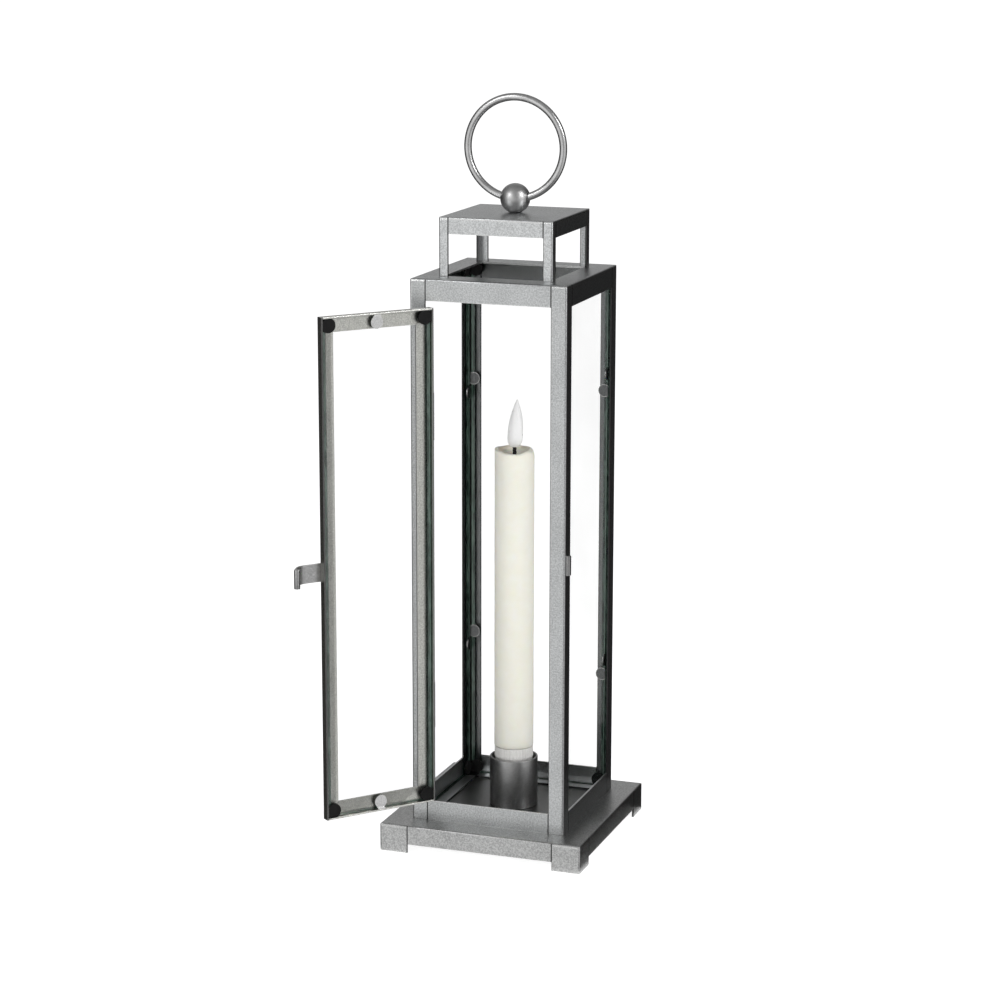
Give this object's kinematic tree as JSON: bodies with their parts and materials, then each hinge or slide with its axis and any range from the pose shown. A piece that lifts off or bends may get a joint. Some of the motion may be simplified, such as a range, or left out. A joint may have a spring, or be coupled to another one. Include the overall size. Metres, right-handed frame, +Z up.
{
  "type": "candle lantern",
  "caption": "Tall square steel lantern with glass walls, a hinged glass door with a spring latch, a swinging ring handle and a battery taper candle in a cup.",
  "frame": {"origin": "centre of the square base at ground level, under the candle's axis", "axes": "+Z up along the candle, -Y out of the door opening, +X towards the latch side of the closed door"},
  "size_m": [0.1504, 0.1879, 0.441],
  "materials": {
    "base_paint": "fine mottled silver-grey powder coat",
    "body_paint": "fine mottled silver-grey powder coat, glossy on flat faces",
    "fittings": "silver-grey coat, worn bright at the edges",
    "dark_steel": "satin dark grey",
    "ring_steel": "satin grey wire",
    "bright_steel": "bare zinc plated",
    "pane_glass": "clear float glass with greenish edges",
    "pad_rubber": "matte dark grey",
    "wax": "soft ivory wax skin",
    "wick_black": "matte black",
    "flame_plastic": "milky translucent white",
    "candle_plastic": "moulded white",
    "cell_wrap": "plain printed wrap",
    "board_green": "green lacquered board",
    "knob_plastic": "black moulded"
  },
  "bodies": {
    "frame": {"base_plate": "base_paint", "foot_front_left": "base_paint", "foot_front_right": "base_paint", "foot_back_left": "base_paint", "foot_back_right": "base_paint", "post_front_left": "body_paint", "post_front_right": "body_paint", "post_back_left": "body_paint", "post_back_right": "body_paint", "bottom_rail_front": "body_paint", "bottom_rail_right": "body_paint", "bottom_rail_back": "body_paint", "bottom_rail_left": "body_paint", "top_rail_front": "body_paint", "top_rail_right": "body_paint", "top_rail_back": "body_paint", "top_rail_left": "body_paint", "turret_leg_front_left": "body_paint", "turret_leg_front_right": "body_paint", "turret_leg_back_left": "body_paint", "turret_leg_back_right": "body_paint", "turret_aprons": "body_paint", "cap_plate": "body_paint", "ball": "dark_steel", "ball_screw": "bright_steel", "ball_washer": "bright_steel", "glass_left": "pane_glass", "glass_right": "pane_glass", "glass_back": "pane_glass", "glass_tabs": "fittings", "glass_pads": "pad_rubber", "latch_keeper": "fittings", "hinge_leaves_post": "fittings", "hinge_pins": "bright_steel", "candle_cup": "dark_steel", "cup_rivet": "bright_steel"},
    "door": {"door_stile_hinge": "body_paint", "door_stile_free": "body_paint", "door_rail_top": "body_paint", "door_rail_bottom": "body_paint", "door_glass": "pane_glass", "door_tabs": "fittings", "door_pads": "pad_rubber", "latch_strap": "fittings", "hinge_leaves_door": "fittings"},
    "ring": {"ring_handle": "ring_steel"},
    "candle": {"wax_shell": "wax", "wick": "wick_black", "flame": "flame_plastic", "battery_tube": "candle_plastic", "cells": "cell_wrap", "contact_plate": "bright_steel", "circuit_board": "board_green", "led": "flame_plastic", "led_leads": "bright_steel"},
    "candle_base": {"candle_plug": "candle_plastic", "contact_spring": "bright_steel"},
    "switch": {"switch_knob": "knob_plastic"}
  },
  "joints": [
    {"name": "door_hinge", "type": "hinge", "parent": "frame", "child": "door", "pos_m": [-0.0357, -0.04965, 0.1755], "axis": [0, 0, 1], "range_deg": [-50, 130]},
    {"name": "ring_tilt", "type": "hinge", "parent": "frame", "child": "ring", "pos_m": [0, 0, 0.381], "axis": [1, 0, 0], "range_deg": [-98, 98]},
    {"name": "candle_lift", "type": "slide", "parent": "frame", "child": "candle", "axis": [0, 0, 1], "range_m": [0, 0.03]},
    {"name": "base_twist", "type": "hinge", "parent": "candle", "child": "candle_base", "pos_m": [0, 0, 0.05], "axis": [0, 0, 1], "range_deg": [0, 45]},
    {"name": "switch_slide", "type": "slide", "parent": "candle_base", "child": "switch", "axis": [1, 0, 0], "range_m": [0, 0.003]}
  ]
}
